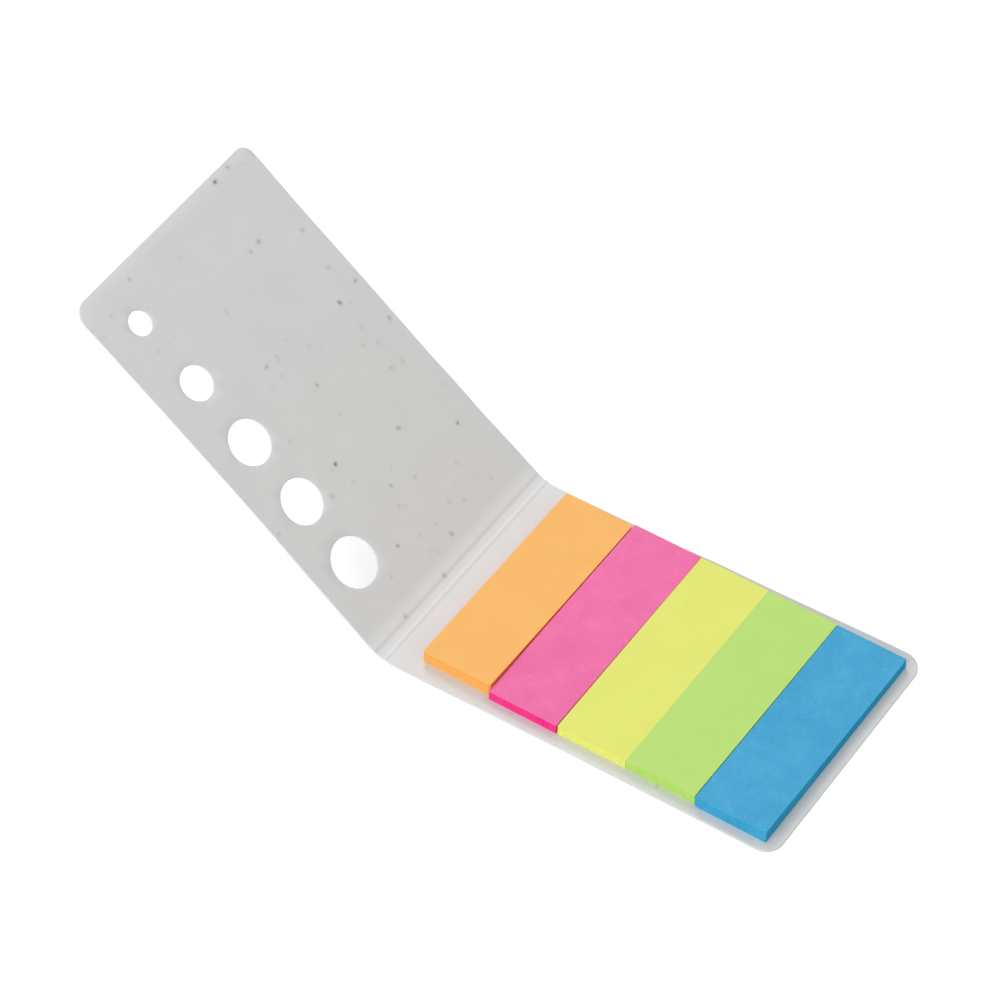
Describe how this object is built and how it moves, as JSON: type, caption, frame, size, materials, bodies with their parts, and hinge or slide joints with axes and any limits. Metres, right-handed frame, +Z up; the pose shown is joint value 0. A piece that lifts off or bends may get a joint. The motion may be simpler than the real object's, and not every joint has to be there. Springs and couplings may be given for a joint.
{
  "type": "seed paper sticky notes",
  "caption": "Booklet of page markers: a scored seed paper cover with round windows stands open beside coloured pads of sticky paper notes.",
  "frame": {"origin": "middle of the base panel's underside, which rests on the table", "axes": "+X from the fold towards the free end of the base panel, +Y across the booklet, +Z up"},
  "size_m": [0.1539, 0.0544, 0.0524],
  "materials": {
    "seed_paper": "matte",
    "orange_paper": "matte",
    "pink_paper": "matte",
    "yellow_paper": "matte",
    "green_paper": "matte",
    "blue_paper": "matte"
  },
  "bodies": {
    "base": {"base_panel": "seed_paper", "orange_pad": "orange_paper", "pink_pad": "pink_paper", "yellow_pad": "yellow_paper", "green_pad": "green_paper", "blue_pad": "blue_paper"},
    "spine": {"spine": "seed_paper"},
    "cover": {"front_cover": "seed_paper"}
  },
  "joints": [
    {"name": "lower_score", "type": "hinge", "parent": "base", "child": "spine", "pos_m": [-0.0417, 0, 0.00045], "axis": [0, 1, 0], "range_deg": [0, 90]},
    {"name": "upper_score", "type": "hinge", "parent": "spine", "child": "cover", "pos_m": [-0.0447, 0, 0.00045], "axis": [0, 1, 0], "range_deg": [-37.7, 50.8]}
  ]
}
